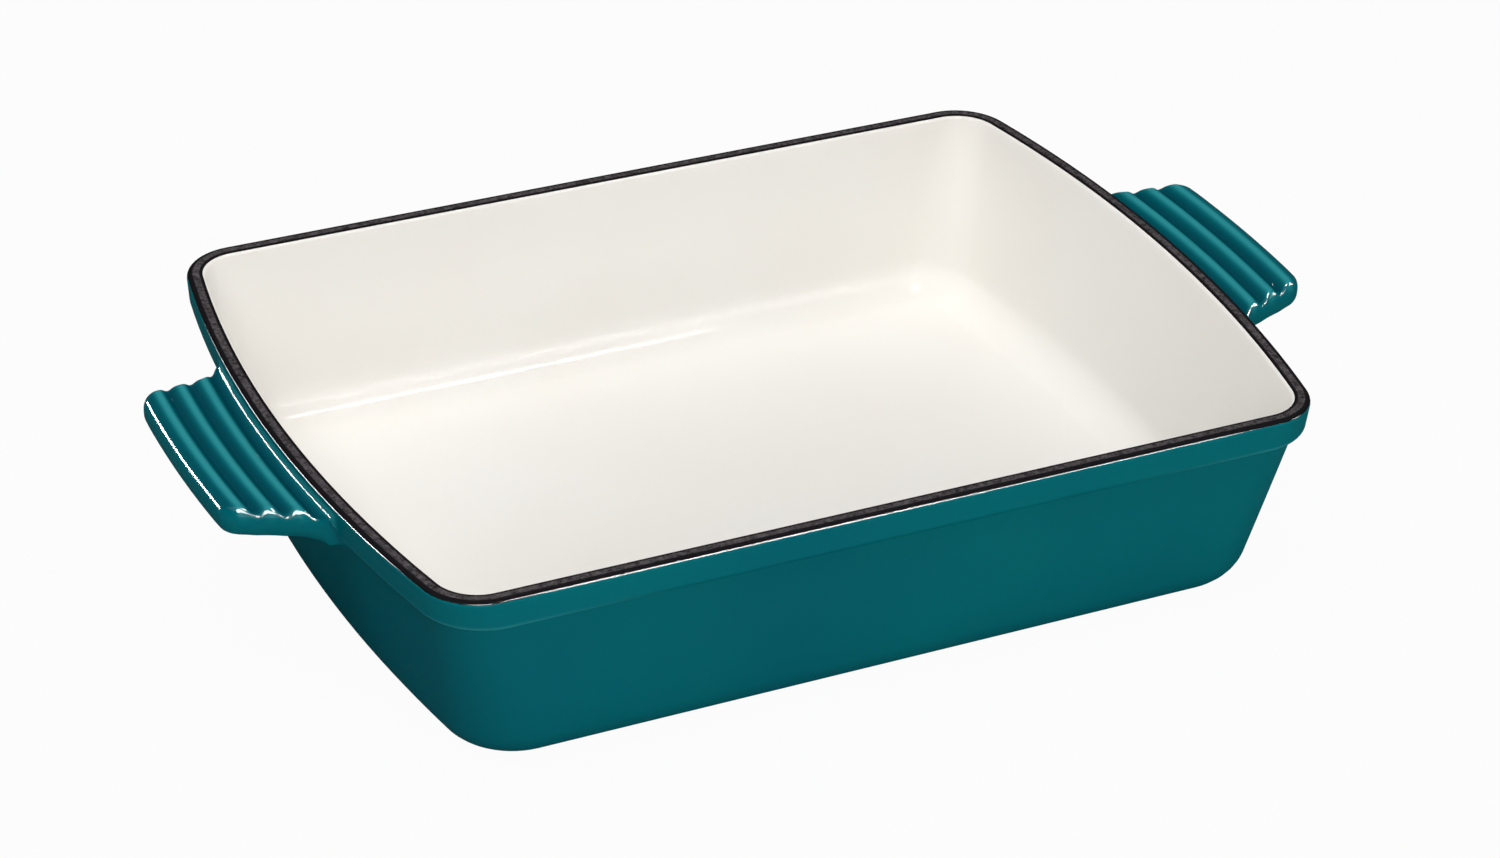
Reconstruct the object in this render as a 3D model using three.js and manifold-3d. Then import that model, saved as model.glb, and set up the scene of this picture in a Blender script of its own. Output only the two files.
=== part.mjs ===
import * as THREE from 'three';
import { mergeVertices } from 'three/addons/utils/BufferGeometryUtils.js';
import Module from 'manifold-3d';

const wasm = await Module();
wasm.setup();

// Enamelled cast iron roasting pan, in millimetres, +Z up.
// The origin is on the surface that the pan stands on, under its middle. The long side runs along X.
// All sizes are finished sizes, measured over the enamel.

// Rim, seen from above
const rimLength = 334;
const rimWidth = 241;
const rimEndRadius = 525;
const rimCornerRadius = 20;
const rimOuterRound = 1.8;
const rimInnerRound = 1.5;

// Tub: the wall lines are carried down to the surface that the pan stands on
const panHeight = 70;
const baseLength = 297;
const baseWidth = 222;
const baseEndRadius = 600;
const baseCornerRadius = 25;
const baseEdgeRound = 14;
const wallThickness = 4.2;
const floorThickness = 5.5;
const floorFillet = 14;

// Collar that stiffens the wall under the rim; its face stands steeper than the wall
const collarHeight = 11;
const collarStep = 2;
const collarTilt = THREE.MathUtils.degToRad(8);
const collarRound = 1.8;

// Underside: a flat foot round a shallow recess
const footWidth = 18;
const recessDepth = 0.9;
const recessSlope = 3;
const recessCornerRadius = 8;

// Handle lugs, one at each end, fluted along the bow of the end
const lugRootWidth = 95;
const lugTaper = THREE.MathUtils.degToRad(15.5);
const lugRise = THREE.MathUtils.degToRad(6.6);
const lugThickness = 10.5;
const lugNose = 5.6;
const lugNoseRound = 4.2;
const lugNoseSquareness = 2.6;
const lugTipRadius = 7;
const lugEndRound = 2.6;
const lugTopFillet = 3;
const lugUndersideFillet = 4;
const lugFlare = 3;
const lugFlareReach = 9;
const ridgeCount = 3;
const ridgePitch = 8.5;
const ridgeDepth = 2.2;
const firstRidgeDrop = 2.8;

// Enamel coats and the seam left round each of them
const coatThickness = 0.4;
const seam = 0.3;
const rimCoatDepth = 0.6;

// Facets
const endSteps = 8;
const cornerSteps = 5;
const roundSteps = 4;
const collarRoundSteps = 3;
const smallRoundSteps = 2;
const ridgeSteps = 4;
const lugSpanSteps = 8;

const quarterTurn = Math.PI / 2;
const halfTurn = Math.PI;
const lerp = THREE.MathUtils.lerp;

// Lean of the walls, from the rim and base sizes
const endLean = Math.atan((rimLength / 2 - collarStep - baseLength / 2) / panHeight);
const sideLean = Math.atan((rimWidth / 2 - collarStep - baseWidth / 2) / panHeight);
const meanLean = (endLean + sideLean) / 2;

// Collar at the ends: the lean of its face, and where that face would meet the top of the rim
const collarLean = Math.atan(Math.tan(endLean) - Math.tan(collarTilt));
const collarTopOut = rimOuterRound * ((1 - Math.sin(collarTilt)) / Math.cos(collarTilt) - 1);

// Fillet under the collar: it brings the round at the collar's foot tangent to the collar's face
const collarFace = collarHeight - rimOuterRound - collarRound;
const collarSpread = collarFace * Math.sin(collarTilt);
const collarFootOut = (rimOuterRound - collarRound + collarSpread) / Math.cos(collarTilt);
const stepFillet = collarStep - rimOuterRound + collarFootOut;

// Evenly spread values from one end to the other, both ends included
function spread(from, to, steps) {
  return Array.from({ length: steps + 1 }, (_, step) => lerp(from, to, step / steps));
}

function arcPoints(x, y, radius, from, to, steps) {
  return new THREE.EllipseCurve(x, y, radius, radius, from, to).getPoints(steps);
}

// Plan outline: bowed ends, straight sides and round corners that are tangent to both
function outline(halfLength, halfWidth, endRadius, cornerRadius) {
  const endX = halfLength - endRadius;
  const cornerY = halfWidth - cornerRadius;
  const cornerX = endX + Math.sqrt((endRadius - cornerRadius) ** 2 - cornerY ** 2);
  const turn = Math.atan2(cornerY, cornerX - endX);
  const halfRing = [
    ...arcPoints(endX, 0, endRadius, -turn, turn, endSteps).slice(0, -1),
    ...arcPoints(cornerX, cornerY, cornerRadius, turn, quarterTurn, cornerSteps),
    ...arcPoints(-cornerX, cornerY, cornerRadius, quarterTurn, halfTurn - turn, cornerSteps).slice(0, -1),
  ];
  return [...halfRing, ...halfRing.map((point) => point.clone().negate())];
}

// Ring of the tub at one height, moved out from the leaning wall lines of the ends and the sides
function tubRing({ z, end, side }) {
  const share = z / panHeight;
  const mean = (end + side) / 2;
  const ring = outline(
    lerp(baseLength / 2, rimLength / 2 - collarStep, share) + end,
    lerp(baseWidth / 2, rimWidth / 2 - collarStep, share) + side,
    lerp(baseEndRadius, rimEndRadius - collarStep, share) + mean,
    Math.max(lerp(baseCornerRadius, rimCornerRadius - collarStep, share) + mean, recessCornerRadius),
  );
  return ring.map((point) => new THREE.Vector3(point.x, point.y, z));
}

function solidFrom(positions, triangles) {
  return new wasm.Manifold(new wasm.Mesh({
    numProp: 3,
    vertProperties: new Float32Array(positions),
    triVerts: new Uint32Array(triangles),
  }));
}

// Cap of a level ring
function levelCap(ring) {
  return THREE.ShapeUtils.triangulateShape(ring.map((point) => new THREE.Vector2(point.x, point.y)), []);
}

// Cap of a ring whose first half runs over its second half: strips between facing points
function stripCap(ring) {
  const triangles = [];
  for (let over = 0, under = ring.length - 1; over < under - 1; over += 1, under -= 1) {
    triangles.push([over, over + 1, under]);
    if (over < under - 2) triangles.push([over + 1, under - 1, under]);
  }
  return triangles;
}

// Closed solid through rings of equal point counts, with a cap over the first and the last
function loft(rings, capOf) {
  const count = rings[0].length;
  const positions = rings.flat().flatMap((point) => point.toArray());
  const triangles = [];
  for (let level = 0; level < rings.length - 1; level += 1) {
    for (let step = 0; step < count; step += 1) {
      const next = (step + 1) % count;
      const low = level * count;
      const high = low + count;
      triangles.push(low + step, low + next, high + next);
      triangles.push(low + step, high + next, high + step);
    }
  }
  const lastRing = (rings.length - 1) * count;
  for (const [a, b, c] of capOf(rings[0])) {
    triangles.push(a, c, b);
  }
  for (const [a, b, c] of capOf(rings.at(-1))) {
    triangles.push(lastRing + a, lastRing + b, lastRing + c);
  }
  return solidFrom(positions, triangles);
}

// Round between a leaning wall and a level face: how far its points stand out from the wall line
function roundOffset(radius, drawnRadius, angle, lean) {
  return (drawnRadius * Math.cos(angle - lean) - radius) / Math.cos(lean);
}

// Same distance from the wall line at the ends and at the sides
function evenStation(z, out) {
  return { z, end: out, side: out };
}

// Outside of the tub as a filled body, with every face moved inwards by depth
function tubOutside(depth) {
  const stepZ = panHeight - collarHeight;
  const baseRound = baseEdgeRound - depth;
  const edge = spread(quarterTurn, meanLean, roundSteps).map((angle) => ({
    z: baseEdgeRound - baseRound * Math.sin(angle),
    end: roundOffset(baseEdgeRound, baseRound, angle, endLean),
    side: roundOffset(baseEdgeRound, baseRound, angle, sideLean),
  }));
  const foot = { z: depth, end: edge[0].end - footWidth, side: edge[0].side - footWidth };
  const recess = {
    z: depth + recessDepth,
    end: foot.end - recessSlope,
    side: foot.side - recessSlope,
  };
  const underCollar = spread(0, quarterTurn, smallRoundSteps).map((angle) => evenStation(
    stepZ - stepFillet + (stepFillet + depth) * Math.sin(angle),
    stepFillet - (stepFillet + depth) * Math.cos(angle),
  ));
  const collarEdge = spread(quarterTurn, -collarTilt, collarRoundSteps).slice(1).map((angle) => evenStation(
    stepZ + collarRound - (collarRound - depth) * Math.sin(angle),
    stepFillet + (collarRound - depth) * Math.cos(angle),
  ));
  const rimEdge = spread(collarTilt, quarterTurn, collarRoundSteps).map((angle) => evenStation(
    panHeight - rimOuterRound + (rimOuterRound - depth) * Math.sin(angle),
    collarStep - rimOuterRound + (rimOuterRound - depth) * Math.cos(angle),
  ));
  const stations = [recess, foot, ...edge, ...underCollar, ...collarEdge, ...rimEdge];
  return loft(stations.map(tubRing), levelCap);
}

// Hollow of the tub as a filled body that runs out over the rim, grown into the wall by depth
function tubHollow(depth) {
  const wallEnd = -wallThickness / Math.cos(endLean);
  const wallSide = -wallThickness / Math.cos(sideLean);
  const fillet = floorFillet + depth;
  const floorEdge = spread(quarterTurn, meanLean, roundSteps).map((angle) => ({
    z: floorThickness + floorFillet - fillet * Math.sin(angle),
    end: wallEnd + roundOffset(floorFillet, fillet, angle, endLean),
    side: wallSide + roundOffset(floorFillet, fillet, angle, sideLean),
  }));
  const rimEdge = spread(0, quarterTurn, roundSteps).map((angle) => {
    const out = rimInnerRound - (rimInnerRound - depth) * Math.cos(angle);
    const z = panHeight - rimInnerRound + (rimInnerRound - depth) * Math.sin(angle);
    return { z, end: wallEnd + out, side: wallSide + out };
  });
  const mouth = { ...rimEdge.at(-1), z: panHeight + wallThickness };
  const stations = [...floorEdge, ...rimEdge, mouth];
  return loft(stations.map(tubRing), levelCap);
}

// Handle lug: distances u run outwards from the bowed end of the rim
const lugValley = lugTopFillet;
const firstRidge = lugValley + ridgePitch / 2;
const lugReach = firstRidge + (ridgeCount - 1) * ridgePitch + lugNose;
const lugRoot = -(collarStep + wallThickness + lugThickness * Math.tan(endLean));
const lugTopHeight = panHeight - firstRidgeDrop;

function crestHeight(u) {
  return lugTopHeight + (u - firstRidge) * Math.tan(lugRise);
}

function ridgeHeight(u) {
  const wave = (1 - Math.cos(2 * Math.PI * (u - firstRidge) / ridgePitch)) / 2;
  return crestHeight(u) - ridgeDepth * wave;
}

function undersideHeight(u) {
  return crestHeight(u) - lugThickness;
}

// Fillet over the lug: it leaves the first valley and is tangent to the leaning collar
const topFilletDrop = panHeight - ridgeHeight(lugValley) - lugTopFillet;
const topFilletU = collarTopOut + lugTopFillet / Math.cos(collarLean) - topFilletDrop * Math.tan(collarLean);

// Fillet under the lug: it is tangent to the leaning wall and to the rising underside
const wallFacing = new THREE.Vector2(Math.cos(endLean), -Math.sin(endLean));
const undersideFacing = new THREE.Vector2(Math.sin(lugRise), -Math.cos(lugRise));
const facingCross = wallFacing.cross(undersideFacing);
const underCornerU = -(collarStep + (panHeight - undersideHeight(0)) * Math.tan(endLean))
  / (1 - Math.tan(lugRise) * Math.tan(endLean));
const underFilletU = underCornerU + lugUndersideFillet * (undersideFacing.y - wallFacing.y) / facingCross;
const underFilletZ = undersideHeight(underCornerU)
  + lugUndersideFillet * (wallFacing.x - undersideFacing.x) / facingCross;

// Places along the flutes as shares of their length: parts of each wave up to the last ridge, then the nose
const waves = ridgeCount - 0.5;
const wavesShare = waves * ridgePitch / (lugReach - lugNoseRound - lugValley);
const fluteShares = [...spread(0, wavesShare, waves * ridgeSteps), 1];

function lugHalfWidth(u) {
  const flareShare = Math.min(Math.max(1 - u / lugFlareReach, 0), 1);
  const flare = lugFlare * flareShare ** 2;
  return lugRootWidth / 2 - u * Math.tan(lugTaper) + flare;
}

// Where the rim's end lies at a distance y from the middle of the end
function rimEndAt(y) {
  return rimLength / 2 - rimEndRadius + Math.sqrt(rimEndRadius ** 2 - y ** 2);
}

// One closed section of the lug. Share places it across the width, inset and shrink round its end.
function lugSection(depth, share, inset, shrink) {
  const acrossAt = (u) => share * (lugHalfWidth(u) - depth - inset);
  const tipRadius = lugTipRadius - depth;
  const past = Math.abs(acrossAt(lugReach)) - (lugHalfWidth(lugReach) - lugTipRadius);
  const tip = Math.min(Math.max(past, 0), tipRadius);
  const noseStart = lugReach - lugNoseRound - (tipRadius - Math.sqrt(tipRadius ** 2 - tip ** 2));
  const noseRound = lugNoseRound - depth;
  const filletRadius = lugTopFillet + depth;
  const fillet = spread(quarterTurn + collarLean, 0, roundSteps).map((angle) => [
    topFilletU - filletRadius * Math.sin(angle),
    panHeight - topFilletDrop - filletRadius * Math.cos(angle) - shrink,
  ]);
  const along = fluteShares.slice(1, -1).map((place) => lerp(lugValley, noseStart, place));
  const topOf = (u) => ridgeHeight(u) - depth - shrink;
  const bottomOf = (u) => undersideHeight(u) + depth + shrink;
  const flutes = along.map((u) => [u, topOf(u)]);
  const underside = along.toReversed().map((u) => [u, bottomOf(u)]);
  const noseTop = topOf(noseStart);
  const noseBottom = bottomOf(noseStart);
  const noseMiddle = (noseTop + noseBottom) / 2;
  const noseHalf = (noseTop - noseBottom) / 2;
  const squared = (value) => Math.sign(value) * Math.abs(value) ** (2 / lugNoseSquareness);
  const nose = spread(quarterTurn, -quarterTurn, roundSteps + smallRoundSteps).map((angle) => [
    noseStart + noseRound * squared(Math.cos(angle)),
    noseMiddle + noseHalf * squared(Math.sin(angle)),
  ]);
  const underFilletRadius = lugUndersideFillet + depth;
  const underFillet = spread(quarterTurn + lugRise, halfTurn - endLean, roundSteps).map((angle) => [
    underFilletU + underFilletRadius * Math.cos(angle),
    underFilletZ + underFilletRadius * Math.sin(angle) + shrink,
  ]);
  const rootTop = [lugRoot, fillet[0][1]];
  const rootBottom = [lugRoot, underFillet.at(-1)[1]];
  const section = [rootTop, ...fillet, ...flutes, ...nose, ...underside, ...underFillet, rootBottom];
  return section.map(([u, z]) => {
    const y = acrossAt(u);
    return new THREE.Vector3(rimEndAt(y) + u, y, z);
  });
}

// Lug at the +X end, with every face moved inwards by depth
function lug(depth) {
  const round = lugEndRound - depth;
  const ends = spread(0, quarterTurn, roundSteps - 1).map((angle) => [
    round * (1 - Math.sin(angle)),
    round * (1 - Math.cos(angle)),
  ]);
  const span = spread(-1, 1, lugSpanSteps).slice(1, -1);
  const sections = [
    ...ends.toReversed().map(([inset, shrink]) => lugSection(depth, -1, inset, shrink)),
    ...span.map((share) => lugSection(depth, share, round, 0)),
    ...ends.map(([inset, shrink]) => lugSection(depth, 1, inset, shrink)),
  ];
  return loft(sections, stripCap);
}

// Outside of tub and both lugs as one filled body
function panOutside(tub, depth) {
  const front = lug(depth);
  return tub.add(front).add(front.rotate([0, 0, 180]));
}

// Slab over the whole pan that starts at a height, to trim coats at the rim
function slabAbove(bottom) {
  const margin = panHeight;
  const slab = new THREE.BoxGeometry(rimLength + margin, rimWidth + margin, margin);
  slab.translate(0, 0, bottom + margin / 2);
  slab.deleteAttribute('normal');
  slab.deleteAttribute('uv');
  const merged = mergeVertices(slab);
  return solidFrom(merged.attributes.position.array, merged.index.array);
}

function piece(name, solid, finish) {
  const mesh = solid.getMesh();
  const geometry = new THREE.BufferGeometry();
  geometry.setAttribute('position', new THREE.BufferAttribute(mesh.vertProperties, mesh.numProp));
  geometry.setIndex(new THREE.BufferAttribute(mesh.triVerts, 1));
  geometry.computeVertexNormals();
  const result = new THREE.Mesh(geometry, new THREE.MeshStandardMaterial(finish));
  result.name = name;
  return result;
}

const ironDepth = coatThickness + seam;
const rimCoatFoot = panHeight - rimCoatDepth;
const sideCoatTop = rimCoatFoot - seam;

// Grey iron in one pour: tub, collar and both lugs
const iron = panOutside(tubOutside(ironDepth), ironDepth).subtract(tubHollow(ironDepth));

// Coloured coat over the outside, the underside and the lugs, up to the rim coat
const coatedTub = tubOutside(0).subtract(slabAbove(sideCoatTop));
const bareOutside = panOutside(tubOutside(coatThickness), coatThickness);
const outsideCoat = panOutside(coatedTub, 0).subtract(bareOutside);

// Pale coat that lines the hollow, up to the rim coat
const insideCoat = tubHollow(coatThickness).subtract(slabAbove(sideCoatTop)).subtract(tubHollow(0));

// Matt ground coat left showing over the top of the rim
const bareTub = tubOutside(coatThickness).subtract(tubHollow(coatThickness));
const finishedTub = tubOutside(0).subtract(tubHollow(0));
const rimCoat = finishedTub.intersect(slabAbove(rimCoatFoot)).subtract(bareTub);

const pan = new THREE.Group();
pan.add(
  piece('pan_casting', iron, { color: 0x3a3a3c, roughness: 0.6, metalness: 1 }),
  piece('exterior_enamel', outsideCoat, { color: 0x005f66, roughness: 0.12, metalness: 0 }),
  piece('interior_enamel', insideCoat, { color: 0xece8e1, roughness: 0.25, metalness: 0 }),
  piece('rim_enamel', rimCoat, { color: 0x262326, roughness: 0.6, metalness: 0 }),
);

export default pan;
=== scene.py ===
import math

import bpy
import numpy as np
from mathutils import Matrix, Vector


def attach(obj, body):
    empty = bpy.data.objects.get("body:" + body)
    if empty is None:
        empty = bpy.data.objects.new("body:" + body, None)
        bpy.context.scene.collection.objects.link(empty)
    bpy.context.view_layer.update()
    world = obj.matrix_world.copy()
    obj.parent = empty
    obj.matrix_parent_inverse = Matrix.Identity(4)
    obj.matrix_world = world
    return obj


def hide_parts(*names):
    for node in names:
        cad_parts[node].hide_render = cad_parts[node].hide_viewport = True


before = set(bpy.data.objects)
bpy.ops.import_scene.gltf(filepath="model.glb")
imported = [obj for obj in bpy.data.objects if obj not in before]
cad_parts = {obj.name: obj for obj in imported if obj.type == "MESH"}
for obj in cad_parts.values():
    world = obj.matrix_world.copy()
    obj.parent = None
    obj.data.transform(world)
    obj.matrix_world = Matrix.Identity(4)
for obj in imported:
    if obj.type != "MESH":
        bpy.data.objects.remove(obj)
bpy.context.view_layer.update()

mm = 0.001
quarterTurn = math.pi / 2

# the pan as cast and coated, in millimetres; the frame's origin is under its middle
pan = {
    "height": 70.0,
    "rimLength": 334.0,
    "rimWidth": 241.0,
    "rimEndRadius": 525.0,
    "rimCornerRadius": 20.0,
    "baseLength": 297.0,
    "baseWidth": 222.0,
    "baseEndRadius": 600.0,
    "baseCornerRadius": 25.0,
    "wall": 4.2,
    "collarHeight": 11.0,
    "collarStep": 2.0,
    "collarTilt": math.radians(8),
    "collarRound": 1.8,
    "rimRound": 2.1,
    "leastCorner": 8.0,
    "coat": 0.4,
}


def lerp(a, b, share):
    return a + (b - a) * share


# 0 up to the low limit, 1 from the high one on, and an eased rise between them
def smoothStep(low, high, value):
    t = np.clip((value - low) / (high - low), 0.0, 1.0)
    return t * t * (3.0 - 2.0 * t)


# bell curve: 1 in its middle, falling off to both sides over its spread
def bell(value, middle, spread):
    return np.exp(-((value - middle) / spread) ** 2)


# angle of a wall from the upright
def lean(baseSize, rimSize):
    return math.atan((rimSize / 2 - pan["collarStep"] - baseSize / 2) / pan["height"])


endLean = lean(pan["baseLength"], pan["rimLength"])
sideLean = lean(pan["baseWidth"], pan["rimWidth"])
meanLean = (endLean + sideLean) / 2

# level distance from the outer wall line of an end or a side to the inner one
endWall = pan["wall"] / math.cos(endLean)
sideWall = pan["wall"] / math.cos(sideLean)

# the collar's face is steeper than the wall, and tangent to the rounds at its top and at its foot
collarTilt = pan["collarTilt"]
collarLean = math.atan(math.tan(endLean) - math.tan(collarTilt))
collarTopOut = pan["rimRound"] * ((1.0 - math.sin(collarTilt)) / math.cos(collarTilt) - 1.0)
collarFace = pan["collarHeight"] - pan["rimRound"] - pan["collarRound"]
collarSpread = pan["rimRound"] - pan["collarRound"] + collarFace * math.sin(collarTilt)
stepFillet = pan["collarStep"] - pan["rimRound"] + collarSpread / math.cos(collarTilt)


# plan of one ring: a bowed end, a round corner tangent to end and side, and a straight side
def planOf(z, endOut, sideOut):
    share = z / pan["height"]
    meanOut = (endOut + sideOut) / 2
    halfLength = lerp(pan["baseLength"] / 2, pan["rimLength"] / 2 - pan["collarStep"], share) + endOut
    halfWidth = lerp(pan["baseWidth"] / 2, pan["rimWidth"] / 2 - pan["collarStep"], share) + sideOut
    endRadius = lerp(pan["baseEndRadius"], pan["rimEndRadius"] - pan["collarStep"], share) + meanOut
    corner = lerp(pan["baseCornerRadius"], pan["rimCornerRadius"] - pan["collarStep"], share) + meanOut
    corner = np.maximum(corner, pan["leastCorner"])
    endX = halfLength - endRadius
    cornerY = halfWidth - corner
    cornerX = endX + np.sqrt((endRadius - corner) ** 2 - cornerY ** 2)
    turn = np.arctan2(cornerY, cornerX - endX)
    return {"endX": endX, "endRadius": endRadius, "halfWidth": halfWidth, "corner": corner,
            "cornerX": cornerX, "cornerY": cornerY, "turn": turn, "endY": endRadius * np.sin(turn)}


rimPlan = planOf(pan["height"], pan["collarStep"], pan["collarStep"])

# handle lug, one at each end; u runs outwards from the bowed end of the rim
lug = {
    "rootHalf": 47.8,
    "taper": math.radians(15.5),
    "rise": math.radians(6.6),
    "thickness": 10.5,
    "nose": 5.6,
    "noseRound": 4.2,
    "endRound": 3.8,
    "squareness": 2.8,
    "tipSquareness": 2.1,
    "valleySquareness": 4.5,
    "underSquareness": 2.3,
    "endFrom": 30.0,
    "endTo": 40.0,
    "tipRadius": 7.0,
    "topFillet": 3.0,
    "underFillet": 4.0,
    "flare": 3.0,
    "flareReach": 9.0,
    "rootFillet": 1.7,
    "softUpTo": 4.0,
    "sharpFrom": 14.0,
    "fadeStart": 50.2,
    "fadeEnd": 55.0,
    "ridgeCount": 3,
    "ridgePitch": 8.5,
    "ridgeDepth": 2.2,
    "crestRound": 0.35,
    "firstRidgeDrop": 2.8,
}
firstRidge = lug["topFillet"] + lug["ridgePitch"] / 2
lugReach = firstRidge + (lug["ridgeCount"] - 1) * lug["ridgePitch"] + lug["nose"]
noseStart = lugReach - lug["noseRound"]

# columns of a quarter turn: from the middle of an end, round a corner, to the middle of a side
columnSpacing = {
    # each stretch of the end: the distance from the middle where it starts and how many columns it gets
    "end": ((0.0, 8), (34.5, 50), (46.0, 14), (51.0, 6), (56.0, 6)),
    "corner": 13,
    "side": 7,
    "sideCrowding": 1.3,  # above 1, the columns of a side stand closer towards its middle
}


def quarterColumns():
    c = columnSpacing
    endY = float(rimPlan["endY"])
    stops = [start for start, count in c["end"][1:]] + [endY]
    stretches = [np.linspace(start, stop, count, endpoint=False)
                 for (start, count), stop in zip(c["end"], stops)]
    return {
        "end": np.concatenate(stretches) / endY,
        "corner": np.linspace(0.0, 1.0, c["corner"], endpoint=False),
        "side": np.linspace(1.0, 0.0, c["side"]) ** c["sideCrowding"],
    }


columns = quarterColumns()


# rings of the tub at heights z, pushed out from the leaning wall lines of the ends and the sides:
# each runs along the end arc, the corner arc and the side line of its plan
def tubRings(z, endOut, sideOut, scale=1.0):
    z, endOut, sideOut = (np.asarray(a, float)[:, None] for a in (z, endOut, sideOut))
    p = planOf(z, endOut, sideOut)
    endY = p["endY"] * columns["end"]
    angle = lerp(p["turn"], quarterTurn, columns["corner"])
    x = np.concatenate([p["endX"] + np.sqrt(p["endRadius"] ** 2 - endY ** 2),
                        p["cornerX"] + p["corner"] * np.cos(angle),
                        p["cornerX"] * columns["side"]], axis=1)
    y = np.concatenate([endY,
                        p["cornerY"] + p["corner"] * np.sin(angle),
                        p["halfWidth"] + 0.0 * columns["side"]], axis=1)
    scale = np.broadcast_to(np.asarray(scale, float), z.shape[:1])[:, None]
    return np.stack([x * scale, y * scale, z + 0.0 * x], axis=-1)


# the four quarters of the pan: mirrored across the middle, then turned half round
def fullTurn(quarter, flip=(-1.0, 1.0, 1.0), turned=(-1.0, -1.0, 1.0)):
    half = np.concatenate([quarter, (quarter * np.array(flip))[:, -2::-1]], axis=1)
    return np.concatenate([half[:, :-1], (half * np.array(turned))[:, :-1]], axis=1)


# a skin of quads through the rows of a grid that closes on itself, with an optional pole at one end
# and values at its points for the materials
def skin(name, grid, pole=None, values=None):
    rows, count = grid.shape[:2]
    points = grid.reshape(-1, 3)
    index = np.arange(rows * count).reshape(rows, count)
    after = np.roll(index, -1, axis=1)
    quads = np.stack([index[:-1], after[:-1], after[1:], index[1:]], axis=-1).reshape(-1, 4).tolist()
    if pole is not None:
        tip = len(points)
        ring, nextRing = (index[0], after[0]) if pole == "first" else (after[-1], index[-1])
        centre = np.array([[0.0, 0.0, grid[0 if pole == "first" else -1, 0, 2]]])
        points = np.concatenate([points, centre])
        quads += np.stack([np.full(count, tip), nextRing, ring], axis=-1).tolist()
    mesh = bpy.data.meshes.new(name)
    mesh.from_pydata((points * mm).tolist(), [], quads)
    mesh.polygons.foreach_set("use_smooth", np.ones(len(mesh.polygons), bool))
    for label, field in (values or {}).items():
        flat = np.concatenate([field.reshape(-1), np.zeros(len(points) - field.size)])
        mesh.attributes.new(label, "FLOAT", "POINT").data.foreach_set("value", flat.astype(np.float32))
    mesh.update()
    piece = bpy.data.objects.new(name, mesh)
    bpy.context.scene.collection.objects.link(piece)
    return piece


# a coat has its thickness on the inner side of its skin
def giveThickness(piece):
    coat = piece.modifiers.new("coat", "SOLIDIFY")
    coat.thickness = pan["coat"] * mm
    coat.offset = -1.0


# round between a leaning wall and a level face: the cosine of the angle from the wall, less 1, times the
# radius, measured level from the wall line
def roundOut(radius, angle, wallLean):
    return radius * (np.cos(angle - wallLean) - 1.0) / math.cos(wallLean)


# wave of the flutes along u, 0 on a crest and 1 in a valley: a cosine mixed with its square, which
# broadens the crests and narrows the valleys
def flute(u):
    wave = (1.0 - np.cos(2 * math.pi * (u - firstRidge) / lug["ridgePitch"])) / 2
    return lerp(wave ** 2, wave, lug["crestRound"])


# height of the crests: a plane that rises outwards
def crestHeight(u):
    return pan["height"] - lug["firstRidgeDrop"] + (u - firstRidge) * math.tan(lug["rise"])


# height of the fluted top: the plane of the crests less the wave
def ridgeHeight(u):
    return crestHeight(u) - lug["ridgeDepth"] * flute(u)


# height of the underside: the plane of the crests less the thickness
def undersideHeight(u):
    return crestHeight(u) - lug["thickness"]


# reach of the lug at a distance y from its middle, with its outline moved in by a share of its rounds:
# the straight nose, a tip arc tangent to nose and tapered end, the end line, a parabola that flares it
# towards the root, and a soft run into the collar
def lugReachAt(y, share):
    taperTan = math.tan(lug["taper"])
    taperCos = math.cos(lug["taper"])
    nose = lugReach - lug["noseRound"] * share
    rootHalf = lug["rootHalf"] - lug["endRound"] * share / taperCos
    radius = lug["tipRadius"] - (lug["noseRound"] + lug["endRound"]) / 2 * share
    tipU = nose - radius
    tipY = rootHalf - tipU * taperTan - radius / taperCos
    across = y - tipY
    arc = tipU + np.sqrt(np.maximum(radius ** 2 - np.clip(across, 0.0, radius) ** 2, 0.0))
    line = (rootHalf - y) / taperTan
    bend = lug["flare"] / lug["flareReach"] ** 2
    slope = taperTan + 2 * lug["flare"] / lug["flareReach"]
    flareFrom = rootHalf - lug["flareReach"] * taperTan
    beyond = np.maximum(y, flareFrom) - rootHalf - lug["flare"]
    flared = (slope - np.sqrt(slope ** 2 + 4 * bend * beyond)) / (2 * bend)
    line = np.where(line < lug["flareReach"], flared, line)
    onArc = across < radius * taperCos
    reach = np.where(onArc, np.where(across < 0, nose, arc), line)
    soft = (reach + np.sqrt(reach ** 2 + 4 * lug["rootFillet"] ** 2)) / 2
    return lerp(soft, reach, smoothStep(lug["softUpTo"], lug["sharpFrom"], reach))


# fillet under the lug, tangent to the leaning wall and to the underside: its centre is where the two
# lines meet when both are moved out by the radius
def underFillet():
    radius = lug["underFillet"]
    wallOut = np.array([math.cos(endLean), -math.sin(endLean)])
    underOut = np.array([math.sin(lug["rise"]), -math.cos(lug["rise"])])
    onWall = np.array([-pan["collarStep"] - pan["height"] * math.tan(endLean), 0.0])
    onUnder = np.array([0.0, undersideHeight(0.0)])
    offsets = [onWall @ wallOut + radius, onUnder @ underOut + radius]
    centre = np.linalg.solve(np.stack([wallOut, underOut]), offsets)
    start = math.atan2(-wallOut[1], -wallOut[0])
    stop = math.atan2(-underOut[1], -underOut[0])
    return centre, start, stop


# fillet between the lug's top and the collar
topFilletDrop = pan["height"] - ridgeHeight(lug["topFillet"]) - lug["topFillet"]
topFilletU = (collarTopOut + lug["topFillet"] / math.cos(collarLean)
              - topFilletDrop * math.tan(collarLean))
topFilletZ = ridgeHeight(topFilletU) + lug["topFillet"]
topFilletSweep = quarterTurn + collarLean

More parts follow.
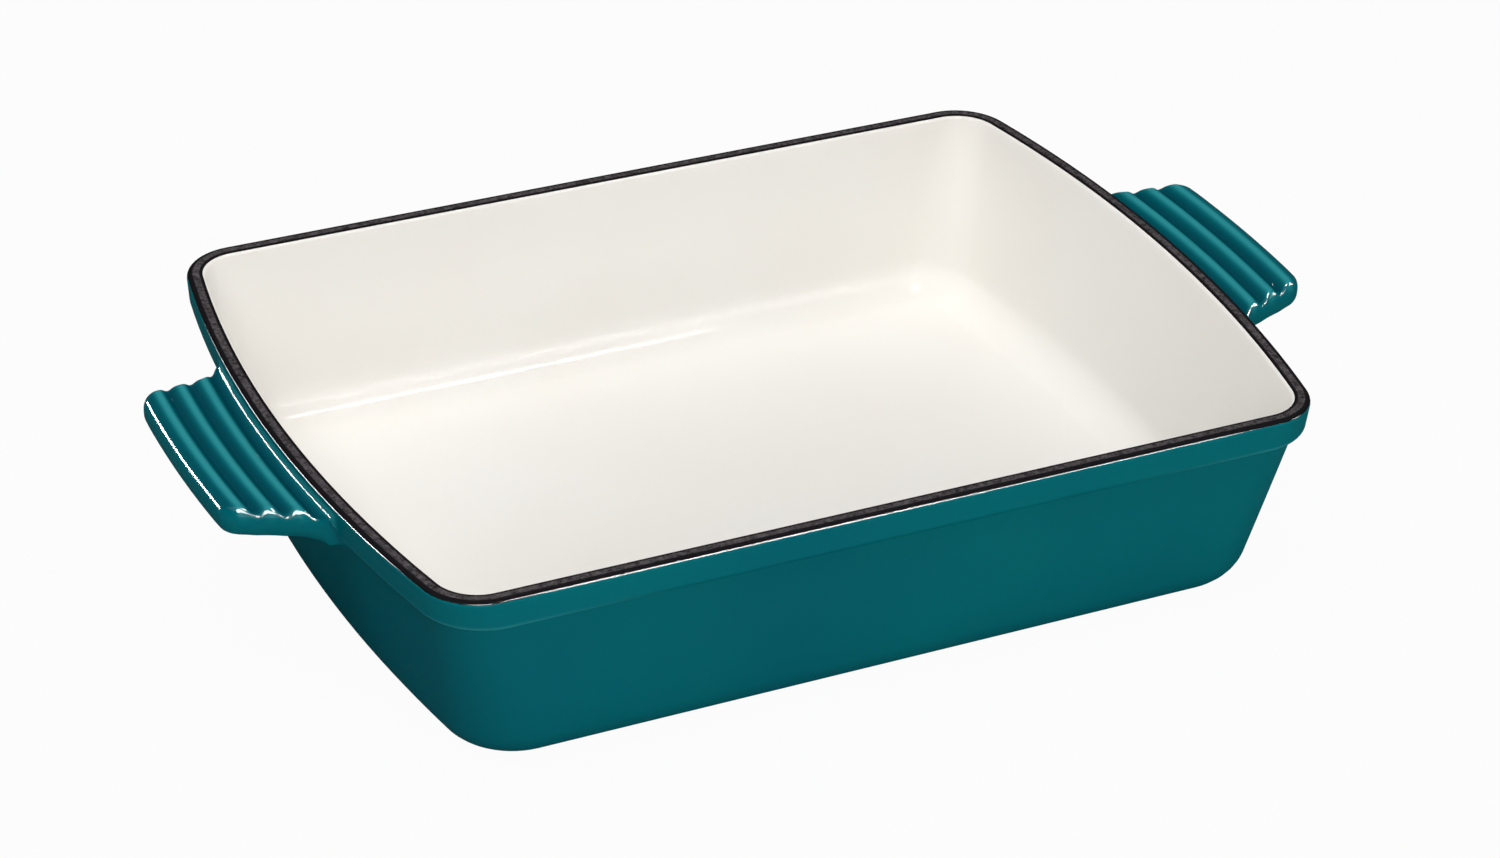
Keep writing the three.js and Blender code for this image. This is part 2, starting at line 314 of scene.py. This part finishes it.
tealCoat = {
    "edgeRound": 14.0,
    "footWidth": 18.0,
    "recessDepth": 0.9,
    "recessSlope": 3.0,
    "recessRings": (0.08, 0.4, 0.75),  # rings on the flat of the recess, as shares of its outline
    "seamAngle": math.radians(50),
    "seamReach": 0.6,
    # painted highlight on the edge of the step: where it peaks on the round and how far it spreads
    "highlightAt": math.radians(32),
    "highlightSpread": math.radians(28),
    "highlightSide": (0.6, 1.0),  # shares of a side, from its middle, between which the painted highlight on the edge of the step comes in
    # painted shade in the crease under the step: where it peaks on the round, how far it spreads and how
    # dark it gets
    "creaseAt": math.radians(60),
    "creaseSpread": math.radians(30),
    "stepShadeDepth": 0.7,
    "shadePower": 0.6,  # below 1, the painted shade of a valley reaches further up its sides
    "highlightPower": 9,  # above 1, the painted highlight of a crest keeps to its top
    "edgeCrowding": 1.6,  # above 1, the rows of a lug's upper edge stand closer towards its outline
    "rows": {"recess": 4, "foot": 2, "edge": 9, "wall": 4, "filletUnder": 6, "under": 5, "edgeBelow": 8,
             "edgeAbove": 22, "flutes": 45, "filletTop": 8, "rim": 6},
}


# rows of the underside, the base edge and the wall, up to the foot of the lugs
def lowerRows(top):
    t, n = tealCoat, tealCoat["rows"]
    edge = np.linspace(quarterTurn, meanLean, n["edge"])
    edgeZ = t["edgeRound"] * (1.0 - np.sin(edge))
    edgeEnd = roundOut(t["edgeRound"], edge, endLean)
    edgeSide = roundOut(t["edgeRound"], edge, sideLean)
    footIn = np.linspace(t["footWidth"], 0.0, n["foot"] + 1)[:-1]
    recessIn = t["footWidth"] + t["recessSlope"]
    ease = np.linspace(1.0, 0.0, n["recess"] + 1)[:-1]
    slopeZ = t["recessDepth"] * smoothStep(0.0, 1.0, ease)
    slopeIn = lerp(t["footWidth"], recessIn, ease)
    scales = np.array(t["recessRings"])
    wallZ = np.linspace(edgeZ[-1], top, n["wall"] + 1)[1:-1]
    z = np.concatenate([np.full(scales.size, t["recessDepth"]), slopeZ, 0.0 * footIn, edgeZ, wallZ])
    inwards = np.concatenate([np.full(scales.size, recessIn), slopeIn, footIn])
    wallOut = np.zeros(wallZ.size)
    endOut = np.concatenate([edgeEnd[0] - inwards, edgeEnd, wallOut])
    sideOut = np.concatenate([edgeSide[0] - inwards, edgeSide, wallOut])
    scale = np.concatenate([scales, np.ones(z.size - scales.size)])
    return tubRings(z, endOut, sideOut, scale)


# rows of wall, collar step and collar where there is no lug, as many as the lug has
def collarRows(bottom, top):
    t, n = tealCoat, tealCoat["rows"]
    stepZ = pan["height"] - pan["collarHeight"]
    edgeRows = n["edgeBelow"] + n["edgeAbove"]
    half = edgeRows // 2
    inner = np.linspace(0.0, quarterTurn, half, endpoint=False)
    outer = np.linspace(quarterTurn, -collarTilt, edgeRows - half)
    stepZs = np.concatenate([stepZ - stepFillet + stepFillet * np.sin(inner),
                             stepZ + pan["collarRound"] * (1.0 - np.sin(outer))])
    stepOut = np.concatenate([stepFillet * (1.0 - np.cos(inner)),
                              stepFillet + pan["collarRound"] * np.cos(outer)])
    wallZ = np.linspace(bottom, stepZ - stepFillet, n["filletUnder"] + n["under"], endpoint=False)
    faceZ = np.linspace(stepZs[-1], top, n["flutes"] + n["filletTop"] + 1)[1:]
    faceOut = stepOut[-1] - (faceZ - stepZs[-1]) * math.tan(collarTilt)
    z = np.concatenate([wallZ, stepZs, faceZ])
    out = np.concatenate([0.0 * wallZ, stepOut, faceOut])
    # foot is 1 where the edge of the step gets a painted highlight
    # the second field tells how dark the painted shade is in the crease under the step
    foot, stepShade = np.zeros(z.size), np.zeros(z.size)
    underStep = slice(wallZ.size, wallZ.size + half)
    overEdge = slice(wallZ.size + half, wallZ.size + edgeRows)
    stepShade[underStep] = t["stepShadeDepth"] * bell(inner, t["creaseAt"], t["creaseSpread"])
    foot[overEdge] = bell(outer, t["highlightAt"], t["highlightSpread"])
    return tubRings(z, out, out), foot, stepShade


# rows of one lug at the columns of its end: underside, squared round edge, flutes and root fillet
def lugRows():
    n = tealCoat["rows"]
    y = (columns["end"] * float(rimPlan["endY"]))[None, :]
    centre, start, stop = underFillet()
    turn = np.linspace(start, stop, n["filletUnder"])[:, None]
    filletU = centre[0] + lug["underFillet"] * np.cos(turn) + 0.0 * y
    filletZ = centre[1] + lug["underFillet"] * np.sin(turn) + 0.0 * y
    full = lugReachAt(y, 1.0)
    share = np.linspace(0.0, 1.0, n["under"] + 1)[1:, None]
    underU = lerp(filletU[-1:], full, share)
    underZ = undersideHeight(underU)
    # edge: a squared ellipse from the underside, out to the outline and back to the top
    # at the ends of the lug the ridges stop in round tips, and the valleys between them in a crisp edge
    below = np.cos(np.linspace(-quarterTurn, 0.0, n["edgeBelow"] + 1)[1:, None])
    above = 1.0 - np.linspace(0.0, 1.0, n["edgeAbove"] + 2)[1:-1, None] ** tealCoat["edgeCrowding"]
    outwards = np.concatenate([below, above])
    isAbove = np.arange(outwards.size)[:, None] >= below.size
    edgeU = lugReachAt(y, 1.0 - outwards)
    levelU = np.minimum(edgeU, noseStart)
    endPower = np.where(isAbove, lerp(lug["tipSquareness"], lug["valleySquareness"], flute(levelU)),
                        lug["underSquareness"])
    power = lerp(lug["squareness"], endPower, smoothStep(lug["endFrom"], lug["endTo"], y))
    lift = np.where(isAbove, 1.0, -1.0) * (1.0 - outwards ** power) ** (1.0 / power)
    edgeTop, edgeBottom = ridgeHeight(levelU), undersideHeight(levelU)
    edgeZ = (edgeTop + edgeBottom) / 2 + lift * (edgeTop - edgeBottom) / 2
    # top: one measure along the flutes and on into the fillet, so that short columns slide up the fillet
    filletR = lug["topFillet"]
    inFillet = np.clip((topFilletU - full) / filletR, 0.0, 1.0)
    begin = np.where(full > topFilletU, full - topFilletU, -filletR * np.arcsin(inFillet))
    finish = -filletR * topFilletSweep
    bend = (noseStart - topFilletU) / (noseStart - topFilletU - finish)
    along = np.concatenate([np.linspace(0.0, bend, n["flutes"], endpoint=False),
                            np.linspace(bend, 1.0, n["filletTop"])])[:, None]
    measure = lerp(begin, finish, along)
    angle = np.maximum(-measure / filletR, 0.0)
    topU = np.where(measure > 0, topFilletU + measure, topFilletU - filletR * np.sin(angle))
    topZ = np.where(measure > 0, ridgeHeight(topU), topFilletZ - filletR * np.cos(angle))
    u = np.concatenate([filletU, underU, edgeU, topU])
    z = np.concatenate([filletZ, underZ, edgeZ, topZ])
    across = y + 0.0 * u
    bow = rimPlan["endX"] + np.sqrt(rimPlan["endRadius"] ** 2 - across ** 2)
    # tint: how far the painted shade and painted highlight of the flutes reach, all over the top and out
    # over the upper edge
    tint = np.concatenate([np.zeros(n["filletUnder"] + n["under"] + n["edgeBelow"]),
                           1.0 - above[:, 0] ** 2,
                           np.ones(topU.shape[0])])
    return np.stack([bow + u, across, z], axis=-1), u, tint


# round of the rim from the collar's face to its top, as heights and ways out, for angles from level
def rimRows(angles):
    out = pan["collarStep"] + pan["rimRound"] * (np.cos(angles) - 1.0)
    z = pan["height"] - pan["rimRound"] * (1.0 - np.sin(angles))
    return z, out


# rows from the middle of the underside up the wall, over collar and lugs, which fade into each other, and
# round the rim up to the seam with the black coat
def makeTealCoat():
    t, n = tealCoat, tealCoat["rows"]
    lugPoints, lugU, tint = lugRows()
    bottom, top = lugPoints[0, 0, 2], lugPoints[-1, 0, 2]
    lower = lowerRows(bottom)
    block, foot, stepShade = collarRows(bottom, top)
    ends = columns["end"].size
    y = columns["end"] * float(rimPlan["endY"])
    weight = 1.0 - smoothStep(lug["fadeStart"], lug["fadeEnd"], y)
    block[:, :ends] = lerp(block[:, :ends], lugPoints, weight[None, :, None])
    rimZ, rimOut = rimRows(np.linspace(collarTilt, t["seamAngle"], n["rim"]))
    upper = tubRings(rimZ, rimOut, rimOut)
    quarter = np.concatenate([lower, block, upper])
    # painted shade: 1 in the valleys of the flutes, and less in the crease under the step
    # painted highlight: 1 on the crests and, near the corners, on the edge of the step
    paintedShade, paintedHighlight = np.zeros(quarter.shape[:2]), np.zeros(quarter.shape[:2])
    band = slice(lower.shape[0], lower.shape[0] + block.shape[0])
    endAndCorner = np.ones(ends + columns["corner"].size)
    nearCorner = np.concatenate([endAndCorner, smoothStep(*t["highlightSide"], columns["side"])])
    paintedShade[band] = stepShade[:, None]
    paintedHighlight[band] = foot[:, None] * nearCorner
    valley = flute(lugU)
    lugShade = valley ** t["shadePower"] * tint[:, None]
    lugHighlight = (1.0 - valley) ** t["highlightPower"] * tint[:, None]
    paintedShade[band, :ends] = lerp(paintedShade[band, :ends], lugShade, weight)
    paintedHighlight[band, :ends] = lerp(paintedHighlight[band, :ends], lugHighlight, weight)
    # seam is 1 at the rim coat and 0 a little way below it
    seam = smoothStep(rimZ[-1] - t["seamReach"], rimZ[-1], quarter[:, :, 2])
    seam[:-n["rim"]] = 0.0
    plain = (1.0,)
    values = {label: fullTurn(field[:, :, None], plain, plain)[:, :, 0]
              for label, field in (("paintedShade", paintedShade), ("paintedHighlight", paintedHighlight), ("seam", seam))}
    piece = skin("teal_outside", fullTurn(quarter), pole="first", values=values)
    giveThickness(piece)
    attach(piece, "root")
    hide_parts("exterior_enamel")
    print("teal coat", len(piece.data.polygons), "faces")
    return piece


creamLining = {
    "floorZ": 5.5,
    "fillet": 14.0,
    "rimRound": 1.5,
    "seamAngle": math.radians(55),
    "floorRings": (0.93, 0.8, 0.6, 0.35, 0.1),  # rings on the floor, as shares of its outline
    "rows": {"rim": 7, "wall": 10, "fillet": 16},
}


# round that carries the lining over the inner edge of the rim, as heights and ways out at ends and sides
def innerRim(angles):
    c = creamLining
    out = c["rimRound"] * (1.0 - np.cos(angles))
    z = pan["height"] - c["rimRound"] * (1.0 - np.sin(angles))
    return z, out - endWall, out - sideWall


# rows from the inner edge of the rim down the wall, through the floor fillet and in to the middle
def makeCreamLining():
    c, n = creamLining, creamLining["rows"]
    rimZ, rimEnd, rimSide = innerRim(np.linspace(c["seamAngle"], 0.0, n["rim"]))
    angle = np.linspace(meanLean, quarterTurn, n["fillet"])
    filletZ = c["floorZ"] + c["fillet"] * (1.0 - np.sin(angle))
    filletEnd = roundOut(c["fillet"], angle, endLean) - endWall
    filletSide = roundOut(c["fillet"], angle, sideLean) - sideWall
    wallZ = np.linspace(rimZ[-1], filletZ[0], n["wall"] + 1)[1:-1]
    wallEnd = np.full(wallZ.size, -endWall)
    wallSide = np.full(wallZ.size, -sideWall)
    scales = np.array(c["floorRings"])
    z = np.concatenate([rimZ, wallZ, filletZ, np.full(scales.size, filletZ[-1])])
    endOut = np.concatenate([rimEnd, wallEnd, filletEnd, np.full(scales.size, filletEnd[-1])])
    sideOut = np.concatenate([rimSide, wallSide, filletSide, np.full(scales.size, filletSide[-1])])
    scale = np.concatenate([np.ones(z.size - scales.size), scales])
    piece = skin("cream_inside", fullTurn(tubRings(z, endOut, sideOut, scale)), pole="last")
    giveThickness(piece)
    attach(piece, "root")
    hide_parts("interior_enamel")
    print("cream lining", len(piece.data.polygons), "faces")
    return piece


blackRim = {"rows": {"round": 7, "top": 6}}


# rows over the top of the rim, from the teal seam outside to the cream seam inside
def makeBlackRim():
    n = blackRim["rows"]
    outerZ, outerOut = rimRows(np.linspace(tealCoat["seamAngle"], quarterTurn, n["round"]))
    innerAngles = np.linspace(quarterTurn, creamLining["seamAngle"], n["round"])
    innerZ, innerEnd, innerSide = innerRim(innerAngles)
    share = np.linspace(0.0, 1.0, n["top"] + 1)[1:-1]
    z = np.concatenate([outerZ, np.full(share.size, pan["height"]), innerZ])
    endOut = np.concatenate([outerOut, lerp(outerOut[-1], innerEnd[0], share), innerEnd])
    sideOut = np.concatenate([outerOut, lerp(outerOut[-1], innerSide[0], share), innerSide])
    # edge is 1 on the rounds of the rim, which the finish paints darker as shade, and falls to 0 on its
    # top
    edge = np.concatenate([np.ones(n["round"]), 0.0 * share, np.ones(n["round"])])
    grid = fullTurn(tubRings(z, endOut, sideOut))
    piece = skin("black_rim", grid, values={"edge": edge[:, None] + 0.0 * grid[:, :, 0]})
    giveThickness(piece)
    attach(piece, "root")
    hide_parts("rim_enamel")
    print("black rim", len(piece.data.polygons), "faces")
    return piece


black = (0.0, 0.0, 0.0)
white = (1.0, 1.0, 1.0)


def opaque(colour):
    return (*colour, 1.0)


# materials: each has its own node tree on Object coordinates, and its finish holds its colours and noises
def newMaterial(name):
    material = bpy.data.materials.new(name)
    material.use_nodes = True
    tree = material.node_tree
    shader = tree.nodes["Principled BSDF"]
    place = tree.nodes.new("ShaderNodeTexCoord")
    return material, tree, shader, place.outputs["Object"]


def noise(tree, place, scale, detail=2.0, roughness=0.5):
    node = tree.nodes.new("ShaderNodeTexNoise")
    node.inputs["Scale"].default_value = scale
    node.inputs["Detail"].default_value = detail
    node.inputs["Roughness"].default_value = roughness
    tree.links.new(place, node.inputs["Vector"])
    return node.outputs["Fac"]


# from one colour at the first stop of a value to another at its second
def ramp(tree, value, stops, colours):
    node = tree.nodes.new("ShaderNodeValToRGB")
    for element, position, colour in zip(node.color_ramp.elements, stops, colours):
        element.position = position
        element.color = opaque(colour)
    tree.links.new(value, node.inputs["Fac"])
    return node.outputs["Color"]


def mixColour(tree, factor, first, second, blend="MIX"):
    node = tree.nodes.new("ShaderNodeMix")
    node.data_type = "RGBA"
    node.blend_type = blend
    for label, value in (("Factor", factor), ("A", first), ("B", second)):
        if isinstance(value, bpy.types.NodeSocket):
            tree.links.new(value, node.inputs[label])
        else:
            node.inputs[label].default_value = value
    return node.outputs["Result"]


# roughness that follows a noise between the two limits of a finish
def spreadRoughness(tree, shader, value, finish):
    low, high = finish["roughness"]
    node = tree.nodes.new("ShaderNodeMapRange")
    node.inputs["To Min"].default_value = low
    node.inputs["To Max"].default_value = high
    tree.links.new(value, node.inputs["Value"])
    tree.links.new(node.outputs["Result"], shader.inputs["Roughness"])


def bump(tree, shader, height, finish):
    node = tree.nodes.new("ShaderNodeBump")
    node.inputs["Strength"].default_value = finish["bumpStrength"]
    node.inputs["Distance"].default_value = finish["bumpDistance"]
    tree.links.new(height, node.inputs["Height"])
    tree.links.new(node.outputs["Normal"], shader.inputs["Normal"])


# fired gloss: a clear layer over a coloured body that has no shine of its own
def glaze(shader, finish):
    shader.inputs["Specular IOR Level"].default_value = 0.0
    shader.inputs["Coat Weight"].default_value = finish["gloss"]
    shader.inputs["Coat IOR"].default_value = finish["glossIndex"]
    shader.inputs["Coat Roughness"].default_value = finish["glossRoughness"]


def attribute(tree, label):
    node = tree.nodes.new("ShaderNodeAttribute")
    node.attribute_name = label
    return node.outputs["Fac"]


tealFinish = {
    "deep": (0.0, 0.124, 0.158),
    "clear": (0.0, 0.148, 0.170),
    "drift": {"scale": 9.0},
    "driftStops": (0.35, 0.65),
    # painted shade for the valleys of the flutes and the crease under the step
    "shaded": (0.0, 0.052, 0.074),
    # painted highlight for the crests of the flutes and the edge of the step
    "paintedHighlight": (0.024, 0.262, 0.290),
    "seamBlack": (0.006, 0.008, 0.009),
    "ragged": {"scale": 700.0},
    "raggedStops": (0.98, 1.0),
    "beads": {"scale": 420.0, "detail": 1.0},
    "bumpStrength": 0.5,
    "bumpDistance": 0.0001,
    "patches": {"scale": 60.0},
    "roughness": (0.45, 0.55),
    "gloss": 0.037,
    "glossIndex": 2.4,
    "glossRoughness": 0.08,
}


def tealEnamel():
    f = tealFinish
    material, tree, shader, place = newMaterial("teal_enamel")
    drift = ramp(tree, noise(tree, place, **f["drift"]), f["driftStops"], (f["deep"], f["clear"]))
    # painted shade darkens the valleys of the flutes and the crease under the step
    shaded = mixColour(tree, attribute(tree, "paintedShade"), drift, opaque(f["shaded"]))
    # painted highlight lightens the crests of the flutes and the edge of the step near the corners
    highlighted = mixColour(tree, attribute(tree, "paintedHighlight"), shaded, opaque(f["paintedHighlight"]))
    # the black of the rim runs a little way into the teal, in a ragged line
    ragged = mixColour(tree, 1.0, attribute(tree, "seam"), noise(tree, place, **f["ragged"]), "ADD")
    edge = ramp(tree, ragged, f["raggedStops"], (black, white))
    seamed = mixColour(tree, edge, highlighted, opaque(f["seamBlack"]))
    tree.links.new(seamed, shader.inputs["Base Color"])
    spreadRoughness(tree, shader, noise(tree, place, **f["patches"]), f)
    beads = mixColour(tree, 1.0, attribute(tree, "seam"), noise(tree, place, **f["beads"]), "MULTIPLY")
    bump(tree, shader, beads, f)
    glaze(shader, f)
    return material


creamFinish = {
    "pale": (0.86, 0.845, 0.81),
    "warm": (0.85, 0.825, 0.78),
    "drift": {"scale": 11.0},
    "driftStops": (0.35, 0.65),
    "patches": {"scale": 70.0},
    "roughness": (0.45, 0.55),
    "gloss": 0.01,
    "glossIndex": 1.5,
    "glossRoughness": 0.07,
}


def creamEnamel():
    f = creamFinish
    material, tree, shader, place = newMaterial("cream_enamel")
    drift = ramp(tree, noise(tree, place, **f["drift"]), f["driftStops"], (f["warm"], f["pale"]))
    tree.links.new(drift, shader.inputs["Base Color"])
    spreadRoughness(tree, shader, noise(tree, place, **f["patches"]), f)
    glaze(shader, f)
    return material


blackFinish = {
    "dark": (0.018, 0.016, 0.018),
    "grey": (0.122, 0.110, 0.116),
    # painted shade for the rounds of the rim
    "edge": (0.010, 0.009, 0.010),
    "grain": {"scale": 650.0, "detail": 4.0, "roughness": 0.7},
    "grainStops": (0.35, 0.7),
    "bumpStrength": 0.5,
    "bumpDistance": 0.0002,
    "roughness": (0.55, 0.8),
    "specular": 0.0,
}


def blackGroundCoat():
    f = blackFinish
    material, tree, shader, place = newMaterial("black_ground_coat")
    grain = noise(tree, place, **f["grain"])
    pitted = ramp(tree, grain, f["grainStops"], (f["dark"], f["grey"]))
    # painted shade: the rounds of the rim darker than its flat top
    edgeShaded = mixColour(tree, attribute(tree, "edge"), pitted, opaque(f["edge"]))
    tree.links.new(edgeShaded, shader.inputs["Base Color"])
    spreadRoughness(tree, shader, grain, f)
    shader.inputs["Specular IOR Level"].default_value = f["specular"]
    bump(tree, shader, grain, f)
    return material


ironFinish = {
    "dark": (0.045, 0.045, 0.048),
    "light": (0.11, 0.108, 0.105),
    "grain": {"scale": 900.0, "detail": 4.0, "roughness": 0.6},
    "grainStops": (0.3, 0.7),
    "bumpStrength": 0.4,
    "bumpDistance": 0.0003,
    "roughness": (0.5, 0.75),
    "metallic": 1.0,
}


def castIron():
    f = ironFinish
    material, tree, shader, place = newMaterial("grey_iron")
    grain = noise(tree, place, **f["grain"])
    flecked = ramp(tree, grain, f["grainStops"], (f["dark"], f["light"]))
    tree.links.new(flecked, shader.inputs["Base Color"])
    spreadRoughness(tree, shader, grain, f)
    shader.inputs["Metallic"].default_value = f["metallic"]
    bump(tree, shader, grain, f)
    return material


def finishWith(piece, material):
    piece.data.materials.clear()
    piece.data.materials.append(material)


# studio, in metres: a pale floor, an uneven sky, two softboxes and five cards
floorLook = {
    "size": 16.0,
    "drop": 0.0003,
    "colour": (0.38, 0.38, 0.38),
    "backgroundShare": 0.96,
    "reflectedShare": 0.06,
}


def makeFloor():
    side = floorLook["size"] / 2
    corners = [(-side, -side), (side, -side), (side, side), (-side, side)]
    mesh = bpy.data.meshes.new("floor")
    mesh.from_pydata([(x, y, -floorLook["drop"]) for x, y in corners], [], [(0, 1, 2, 3)])
    floor = bpy.data.objects.new("floor", mesh)
    bpy.context.scene.collection.objects.link(floor)
    material = bpy.data.materials.new("pale_floor")
    material.use_nodes = True
    tree = material.node_tree
    tree.nodes.clear()
    # the camera sees the floor as almost white, the gloss sees a little white in it, and the rest is grey
    path = tree.nodes.new("ShaderNodeLightPath")
    share = None
    for ray, weight in (("Is Camera Ray", "backgroundShare"), ("Is Transmission Ray", "backgroundShare"),
                        ("Is Glossy Ray", "reflectedShare")):
        seen = tree.nodes.new("ShaderNodeMath")
        seen.operation = "MULTIPLY_ADD"
        seen.inputs[1].default_value = floorLook[weight]
        seen.inputs[2].default_value = 0.0
        tree.links.new(path.outputs[ray], seen.inputs[0])
        if share:
            tree.links.new(share.outputs[0], seen.inputs[2])
        share = seen
    diffuse = tree.nodes.new("ShaderNodeBsdfDiffuse")
    diffuse.inputs["Color"].default_value = opaque(floorLook["colour"])
    glow = tree.nodes.new("ShaderNodeEmission")
    mixed = tree.nodes.new("ShaderNodeMixShader")
    tree.links.new(share.outputs[0], mixed.inputs[0])
    tree.links.new(diffuse.outputs[0], mixed.inputs[1])
    tree.links.new(glow.outputs[0], mixed.inputs[2])
    out = tree.nodes.new("ShaderNodeOutputMaterial")
    tree.links.new(mixed.outputs[0], out.inputs["Surface"])
    mesh.materials.append(material)


# sky: pale near the horizon, dim above it and on the side away from the window
worldLight = {
    "horizon": 0.9,
    "above": 0.25,
    "fadeFrom": 0.16,
    "fadeTo": 0.42,
    "window": (0.85, 0.35, 0.0),
    "shadeSide": 0.12,
    "windowSide": 1.0,
    "turnFrom": -0.8,
    "turnTo": 0.3,
}


# eased change between two strengths as a value goes from one limit to another
def easedChange(tree, value, limits, strengths):
    node = tree.nodes.new("ShaderNodeMapRange")
    node.interpolation_type = "SMOOTHSTEP"
    for label, number in zip(("From Min", "From Max", "To Min", "To Max"), (*limits, *strengths)):
        node.inputs[label].default_value = number
    tree.links.new(value, node.inputs["Value"])
    return node.outputs["Result"]


def makeWorld():
    w = worldLight
    world = bpy.data.worlds.new("studio")
    world.use_nodes = True
    tree = world.node_tree
    direction = tree.nodes.new("ShaderNodeTexCoord").outputs["Generated"]
    split = tree.nodes.new("ShaderNodeSeparateXYZ")
    tree.links.new(direction, split.inputs[0])
    fade = easedChange(tree, split.outputs["Z"], (w["fadeFrom"], w["fadeTo"]), (w["horizon"], w["above"]))
    facing = tree.nodes.new("ShaderNodeVectorMath")
    facing.operation = "DOT_PRODUCT"
    facing.inputs[1].default_value = w["window"]
    tree.links.new(direction, facing.inputs[0])
    side = easedChange(tree, facing.outputs["Value"], (w["turnFrom"], w["turnTo"]),
                       (w["shadeSide"], w["windowSide"]))
    strength = tree.nodes.new("ShaderNodeMath")
    strength.operation = "MULTIPLY"
    tree.links.new(fade, strength.inputs[0])
    tree.links.new(side, strength.inputs[1])
    background = tree.nodes["Background"]
    tree.links.new(strength.outputs[0], background.inputs["Strength"])
    background.inputs["Color"].default_value = opaque(white)
    bpy.context.scene.world = world


# each softbox: direction from the pan, distance, width and height, and how bright its face is
# a card shows only in the gloss of the enamel
softboxes = {
    "overhead": {"towards": (-0.27, -0.03, 1.0), "distance": 3.5, "size": (3.0, 3.0),
                 "brightness": 3.35, "card": False},
    "front": {"towards": (-0.2, -0.9, 0.4), "distance": 1.6, "size": (1.0, 0.8),
              "brightness": 4.4, "card": False},
    "leftTips": {"towards": (-0.32, -0.84, 1.34), "distance": 1.6, "size": (0.7, 1.0),
                 "brightness": 147.0, "card": True},
    "rightTips": {"towards": (1.36, -0.46, 0.91), "distance": 1.7, "size": (0.4, 0.5),
                  "brightness": 173.0, "card": True},
    "stripCard": {"towards": (0.447, -0.175, 1.39), "distance": 1.47, "size": (0.34, 0.2),
                  "brightness": 1100.0, "card": True},
    "frontCard": {"towards": (0.37, -0.66, 0.62), "distance": 1.5, "size": (0.5, 0.7),
                  "brightness": 147.0, "card": True},
    "backCard": {"towards": (-0.66, 0.69, 0.135), "distance": 1.5, "size": (0.8, 0.38),
                 "brightness": 220.0, "card": True},
}


def makeSoftbox(name, box):
    lamp = bpy.data.lights.new(name, "AREA")
    lamp.shape = "RECTANGLE"
    lamp.size, lamp.size_y = box["size"]
    lamp.energy = box["brightness"] * math.pi * box["size"][0] * box["size"][1]
    holder = bpy.data.objects.new(name, lamp)
    towards = Vector(box["towards"]).normalized()
    holder.location = towards * box["distance"]
    level = Vector((1.0, 0.0, 0.0))
    across = (level - towards * level.dot(towards)).normalized()
    holder.rotation_euler = Matrix((across, towards.cross(across), towards)).transposed().to_euler()
    holder.visible_diffuse = not box["card"]
    bpy.context.scene.collection.objects.link(holder)


# camera: turn, height and roll of the view in degrees, its place back, right and up from the middle of
# the rim in millimetres, focal length and image width in pixels, and sensor width in millimetres
cameraView = {
    "azimuth": -26.98,
    "elevation": 30.78,
    "roll": 2.28,
    "distance": 1464.5,
    "right": 3.34,
    "up": -32.4,
    "focal": 4413.0,
    "imageWidth": 1500.0,
    "sensor": 36.0,
}


def makeCamera():
    v = cameraView
    az, el, roll = (math.radians(v[k]) for k in ("azimuth", "elevation", "roll"))
    flatRight = Vector((math.cos(az), math.sin(az), 0.0))
    back = Vector((math.sin(az) * math.cos(el), -math.cos(az) * math.cos(el), math.sin(el)))
    flatUp = back.cross(flatRight)
    right = flatRight * math.cos(roll) + flatUp * math.sin(roll)
    up = flatUp * math.cos(roll) - flatRight * math.sin(roll)
    rimMiddle = Vector((0.0, 0.0, pan["height"]))
    place = (rimMiddle + back * v["distance"] + right * v["right"] + up * v["up"]) * mm
    data = bpy.data.cameras.new("camera")
    data.sensor_width = v["sensor"]
    data.lens = v["focal"] / v["imageWidth"] * v["sensor"]
    camera = bpy.data.objects.new("camera", data)
    turn = Matrix((right, up, back)).transposed().to_4x4()
    camera.matrix_world = Matrix.Translation(place) @ turn
    bpy.context.scene.collection.objects.link(camera)
    bpy.context.scene.camera = camera


makeCamera()
makeFloor()
makeWorld()
for boxName, boxSettings in softboxes.items():
    makeSoftbox(boxName, boxSettings)
print("studio ready")

finishWith(makeTealCoat(), tealEnamel())
finishWith(makeCreamLining(), creamEnamel())
finishWith(makeBlackRim(), blackGroundCoat())
finishWith(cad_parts["pan_casting"], castIron())
print("pieces ready")

bpy.context.scene.view_settings.view_transform = "Standard"

bpy.context.view_layer.update()
